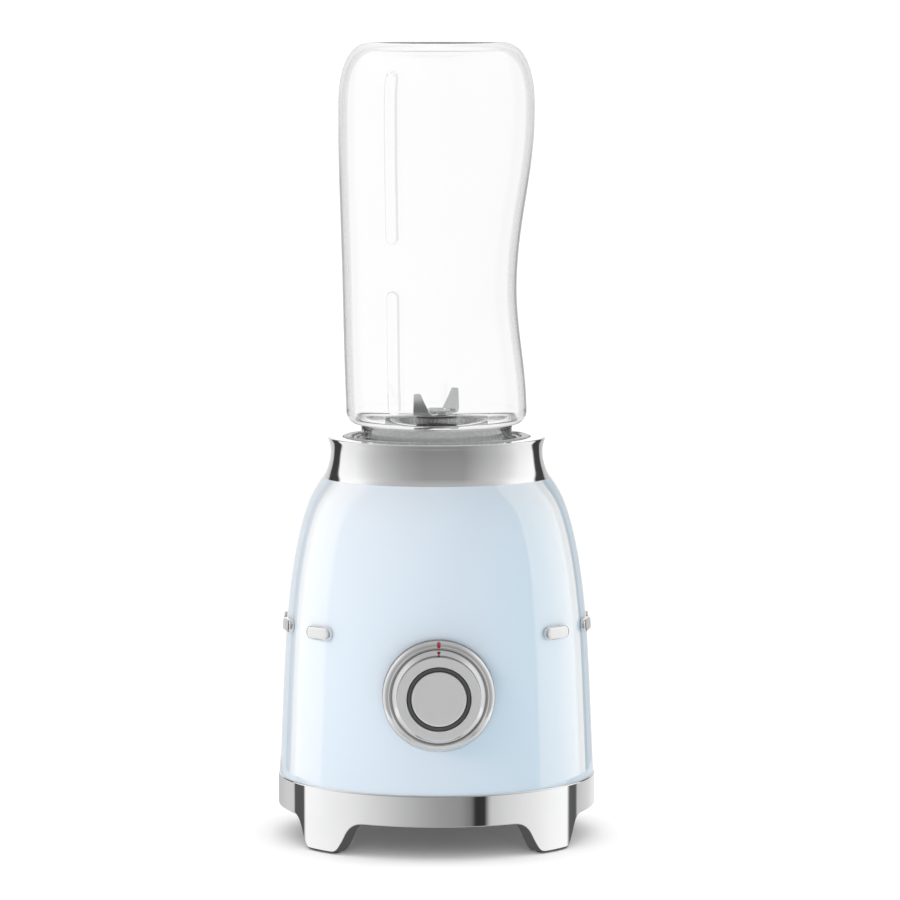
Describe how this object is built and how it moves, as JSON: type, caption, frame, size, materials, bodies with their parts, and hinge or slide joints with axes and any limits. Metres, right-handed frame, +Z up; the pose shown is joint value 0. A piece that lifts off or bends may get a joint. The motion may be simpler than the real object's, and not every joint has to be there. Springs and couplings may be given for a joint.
{
  "type": "countertop blender",
  "caption": "Personal countertop blender: rounded body on a bright footed ring, front speed dial with push button, clear screw-on drinking bottle over a blade unit.",
  "frame": {"origin": "middle of the object's bounding box at the level of the foot pads' undersides", "axes": "+Z up along the motor axis, -Y to the front where the speed dial is, +X to the right seen from the front"},
  "size_m": [0.1266, 0.1368, 0.3162],
  "materials": {
    "bright_chrome": "polished chrome plating",
    "body_paint": "glossy pale blue lacquer",
    "grey_plastic": "satin grey moulded plastic",
    "dark_plastic": "matt dark moulded plastic",
    "rubber": "matt black rubber",
    "silicone": "pale translucent silicone",
    "satin_metal": "fine satin silver",
    "steel": "ground stainless steel",
    "motor_iron": "plated motor iron",
    "ferrite": "dark sintered ferrite and carbon",
    "copper": "turned copper",
    "brass": "sintered bronze",
    "red_mark": "glossy red inlay",
    "circuit_board": "green laminate",
    "clear_bottle": "clear glossy copolyester"
  },
  "bodies": {
    "base": {"base_ring": "bright_chrome", "foot_pad_1": "rubber", "foot_pad_2": "rubber", "foot_pad_3": "rubber", "foot_pad_4": "rubber", "bottom_cover": "dark_plastic", "cover_screw_1": "steel", "cover_screw_2": "steel", "cover_screw_3": "steel", "cover_screw_4": "steel", "body_shell": "body_paint", "side_bar_right_1": "bright_chrome", "side_bar_right_2": "bright_chrome", "side_bar_right_3": "bright_chrome", "side_bar_left_1": "bright_chrome", "side_bar_left_2": "bright_chrome", "side_bar_left_3": "bright_chrome", "neck_collar": "bright_chrome", "seat_liner": "grey_plastic", "motor_plate": "steel", "plate_screw_1": "steel", "plate_screw_2": "steel", "plate_screw_3": "steel", "motor_can": "motor_iron", "magnet_right": "ferrite", "magnet_left": "ferrite", "motor_end_cap": "dark_plastic", "bearing_lower": "steel", "bearing_upper": "steel", "brush_right": "ferrite", "brush_left": "ferrite", "bezel_ring": "bright_chrome", "index_mark": "red_mark", "rotary_switch": "dark_plastic", "control_board": "circuit_board", "cord_gland": "dark_plastic", "gland_nut": "dark_plastic", "interlock_switch": "dark_plastic"},
    "rotor": {"motor_shaft": "steel", "rotor_core": "motor_iron", "commutator": "copper", "cooling_fan": "dark_plastic", "drive_coupling": "dark_plastic"},
    "blade_unit": {"blade_holder": "grey_plastic", "shaft_bush": "brass", "shaft_seal": "rubber"},
    "blades": {"blade_shaft": "steel", "lower_blade": "steel", "upper_blade": "steel", "blade_nut": "steel", "driven_coupling": "dark_plastic"},
    "seal": {"neck_seal": "silicone"},
    "bottle": {"bottle": "clear_bottle"},
    "dial": {"speed_dial": "satin_metal", "dial_mark": "red_mark", "light_ring": "dark_plastic", "dial_shaft": "steel"},
    "button": {"push_button": "satin_metal"},
    "interlock": {"interlock_pin": "silicone"}
  },
  "joints": [
    {"name": "motor_spin", "type": "hinge", "parent": "base", "child": "rotor", "pos_m": [0, 0.0029, 0.09], "axis": [0, 0, 1], "continuous": true},
    {"name": "blade_unit_lift", "type": "slide", "parent": "base", "child": "blade_unit", "axis": [0, 0, 1], "range_m": [0, 0.07]},
    {"name": "blade_spin", "type": "hinge", "parent": "blade_unit", "child": "blades", "pos_m": [0, 0.0029, 0.165], "axis": [0, 0, 1], "continuous": true},
    {"name": "bottle_rise", "type": "slide", "parent": "blade_unit", "child": "seal", "axis": [0, 0, 1], "range_m": [0, 0.0126]},
    {"name": "bottle_unscrew", "type": "hinge", "parent": "seal", "child": "bottle", "pos_m": [0, 0.0029, 0.16], "axis": [0, 0, 1], "range_deg": [0, 900]},
    {"name": "dial_turn", "type": "hinge", "parent": "base", "child": "dial", "pos_m": [0, -0.0571, 0.0644], "axis": [0, 1, 0], "range_deg": [-45, 90]},
    {"name": "button_press", "type": "slide", "parent": "dial", "child": "button", "axis": [0, 1, 0], "range_m": [0, 0.0015], "stiffness_N_per_m": 600},
    {"name": "interlock_press", "type": "slide", "parent": "base", "child": "interlock", "axis": [0, 0, -1], "range_m": [0, 0.0015], "stiffness_N_per_m": 400}
  ],
  "couplings": [
    {"joint": "blade_spin", "follows": "motor_spin", "ratio": 1},
    {"joint": "bottle_rise", "follows": "bottle_unscrew", "m_per_rad": 0.00079577}
  ]
}
